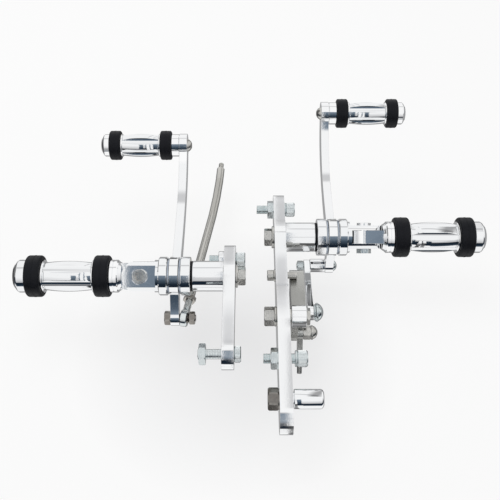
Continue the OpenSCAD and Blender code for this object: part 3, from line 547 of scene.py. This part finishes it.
# height of the direction (-1 down, 1 up) and what is seen there
bands = {
    "leftTube": ((-0.71, white), (-0.70, grey(0.35)), (-0.68, grey(0.35)), (-0.67, white), (-0.36, white), (-0.34, navy),
                 (0.16, navy), (0.22, grey(0.58)), (0.62, grey(0.72)), (0.66, white)),
    "rightTube": ((-0.97, grey(0.14)), (-0.72, grey(0.36)), (-0.34, grey(0.12)), (-0.05, grey(0.06)), (-0.01, white),
                  (0.69, white), (0.72, grey(0.50)), (0.75, white)),
    "flange": ((-0.38, white), (-0.36, navy), (-0.06, navy), (0.35, steelBlue), (0.77, slate), (0.80, white)),
    "peg": ((-0.46, white), (-0.43, steelBlue), (-0.20, navy), (0.02, navy), (0.06, grey(0.50)), (0.34, grey(0.80)),
            (0.60, white)),
    "ahead": ((-0.10, grey(0.36)), (-0.02, white), (0.86, white), (0.88, grey(0.66)), (0.92, grey(0.66)),
              (0.95, white)),
    "plateBehind": ((-0.40, white), (-0.37, navy), (0.20, navy), (0.55, slate), (0.976, slate), (0.990, grey(0.50)),
                    (0.9975, white)),
    "plateAhead": ((-0.10, grey(0.36)), (0.0, grey(0.58)), (0.55, grey(0.66)), (0.78, grey(0.76)), (0.86, white)),
    "boltBehind": ((-0.62, grey(0.04)), (-0.45, grey(0.10)), (-0.15, grey(0.30)), (0.0, white)),
    "boltAhead": ((-0.60, grey(0.30)), (-0.20, grey(0.55)), (0.0, white)),
}

# ahead, a direction that leans well to the left (-1) or the right (1) sees a darker strip
sideStrips = ((-0.72, grey(0.24)), (-0.60, white), (0.26, white), (0.38, grey(0.40)), (0.46, grey(0.40)),
              (0.58, white))

# how far to the side a direction leans, and the bands seen there, from the middle outwards
zonesBehind = ((0.027, "boltBehind"), (0.043, "plateBehind"), (0.0875, "tube"), (0.17, "flange"), (1, "peg"))
zonesAhead = ((0.027, "boltAhead"), (0.043, "plateAhead"), (1, "ahead"))


def choose(tree, factor, a, b):
    node = add(tree, "ShaderNodeMix", data_type="RGBA")
    link(tree, factor, node.inputs["Factor"])
    for socket, value in ((node.inputs["A"], a), (node.inputs["B"], b)):
        if isinstance(value, tuple):
            socket.default_value = (*value, 1)
        else:
            link(tree, value, socket)
    return node.outputs["Result"]


def zoned(tree, aside, zones, seenAt):
    seen = seenAt[zones[-1][1]]
    for edge, name in reversed(zones[:-1]):
        seen = choose(tree, combine(tree, "LESS_THAN", aside, edge), seen, seenAt[name])
    return seen


def makeWorld():
    world = bpy.data.worlds.new("studio")
    world.use_nodes = True
    scene.world = world
    tree = world.node_tree
    tree.nodes.clear()
    place = add(tree, "ShaderNodeTexCoord")
    split = add(tree, "ShaderNodeSeparateXYZ")
    link(tree, place.outputs["Generated"], split.inputs["Vector"])
    height = combine(tree, "MULTIPLY_ADD", split.outputs["Z"], 0.5)
    height.node.inputs[2].default_value = 0.5
    seenAt = {k: ramp(tree, height, [((z + 1) / 2, c) for z, c in stops]) for k, stops in bands.items()}
    offset = combine(tree, "SUBTRACT", split.outputs["X"], studio["middle"])
    aside = combine(tree, "ABSOLUTE", offset, 0)
    onRight = combine(tree, "GREATER_THAN", offset, 0)
    seenAt["tube"] = choose(tree, onRight, seenAt["leftTube"], seenAt["rightTube"])
    behind = combine(tree, "LESS_THAN", split.outputs["Y"], -0.05)
    lean = combine(tree, "MULTIPLY_ADD", split.outputs["X"], 0.5)
    lean.node.inputs[2].default_value = 0.5
    ahead = add(tree, "ShaderNodeMix", data_type="RGBA", blend_type="MULTIPLY")
    ahead.inputs["Factor"].default_value = 1
    link(tree, zoned(tree, aside, zonesAhead, seenAt), ahead.inputs["A"])
    link(tree, ramp(tree, lean, [((x + 1) / 2, c) for x, c in sideStrips]), ahead.inputs["B"])
    room = choose(tree, behind, ahead.outputs["Result"], zoned(tree, aside, zonesBehind, seenAt))
    path = add(tree, "ShaderNodeLightPath")
    seen = combine(tree, "MAXIMUM", path.outputs["Is Camera Ray"], path.outputs["Is Glossy Ray"])
    seen = combine(tree, "MAXIMUM", seen, path.outputs["Is Transmission Ray"])
    shown = add(tree, "ShaderNodeBackground")
    link(tree, choose(tree, path.outputs["Is Camera Ray"], room, white), shown.inputs["Color"])
    fill = add(tree, "ShaderNodeBackground")
    fill.inputs["Color"].default_value = (1, 1, 1, 1)
    fill.inputs["Strength"].default_value = studio["fill"]
    both = add(tree, "ShaderNodeMixShader")
    link(tree, seen, both.inputs["Fac"])
    link(tree, fill.outputs["Background"], both.inputs[1])
    link(tree, shown.outputs["Background"], both.inputs[2])
    out = add(tree, "ShaderNodeOutputWorld")
    link(tree, both.outputs["Shader"], out.inputs["Surface"])


def makeFloor():
    low = cadBox[0][2] - studio["floorDrop"]
    half = studio["floorSize"] / 2
    mesh = bpy.data.meshes.new("floor")
    mesh.from_pydata([(-half, -half, low), (half, -half, low), (half, half, low), (-half, half, low)], [],
                     [(0, 1, 2, 3)])
    floor = bpy.data.objects.new("floor", mesh)
    scene.collection.objects.link(floor)
    floor.visible_glossy = False
    mat = bpy.data.materials.new("paperSweep")
    mat.use_nodes = True
    tree = mat.node_tree
    shader = tree.nodes["Principled BSDF"]
    shader.inputs["Base Color"].default_value = (0.97, 0.97, 0.97, 1)
    shader.inputs["Roughness"].default_value = 0.9
    shader.inputs["Specular IOR Level"].default_value = 0.1
    # the camera sees the paper nearly white, with a painted shade that makes it a little greyer under the middle,
    # and with the faint real shadow of its diffuse part
    place = add(tree, "ShaderNodeTexCoord")
    reach = add(tree, "ShaderNodeVectorMath", operation="LENGTH")
    link(tree, place.outputs["Object"], reach.inputs[0])
    glowWithPaintedShade = ramp(tree, reach.outputs["Value"], ((studio["shadeFrom"], grey(studio["floorShade"])),
                                                (studio["shadeTo"], white)))
    glow = add(tree, "ShaderNodeEmission")
    link(tree, glowWithPaintedShade, glow.inputs["Color"])
    path = add(tree, "ShaderNodeLightPath")
    share = combine(tree, "MULTIPLY", path.outputs["Is Camera Ray"], studio["floorGlow"])
    both = add(tree, "ShaderNodeMixShader")
    link(tree, share, both.inputs["Fac"])
    link(tree, shader.outputs["BSDF"], both.inputs[1])
    link(tree, glow.outputs["Emission"], both.inputs[2])
    link(tree, both.outputs["Shader"], tree.nodes["Material Output"].inputs["Surface"])
    mesh.materials.append(mat)


def makeLamp():
    data = bpy.data.lights.new("softbox", "AREA")
    data.energy = studio["lampPower"]
    data.size = studio["lampSize"]
    lamp = bpy.data.objects.new("softbox", data)
    aim = Vector((0, 0.05, 0)) - Vector(studio["lampPlace"])
    lamp.matrix_world = Matrix.Translation(studio["lampPlace"]) @ aim.to_track_quat("-Z", "Y").to_matrix().to_4x4()
    lamp.visible_glossy = False
    scene.collection.objects.link(lamp)


makeWorld()
makeFloor()
makeLamp()
scene.view_settings.view_transform = "Standard"
print("studio set")
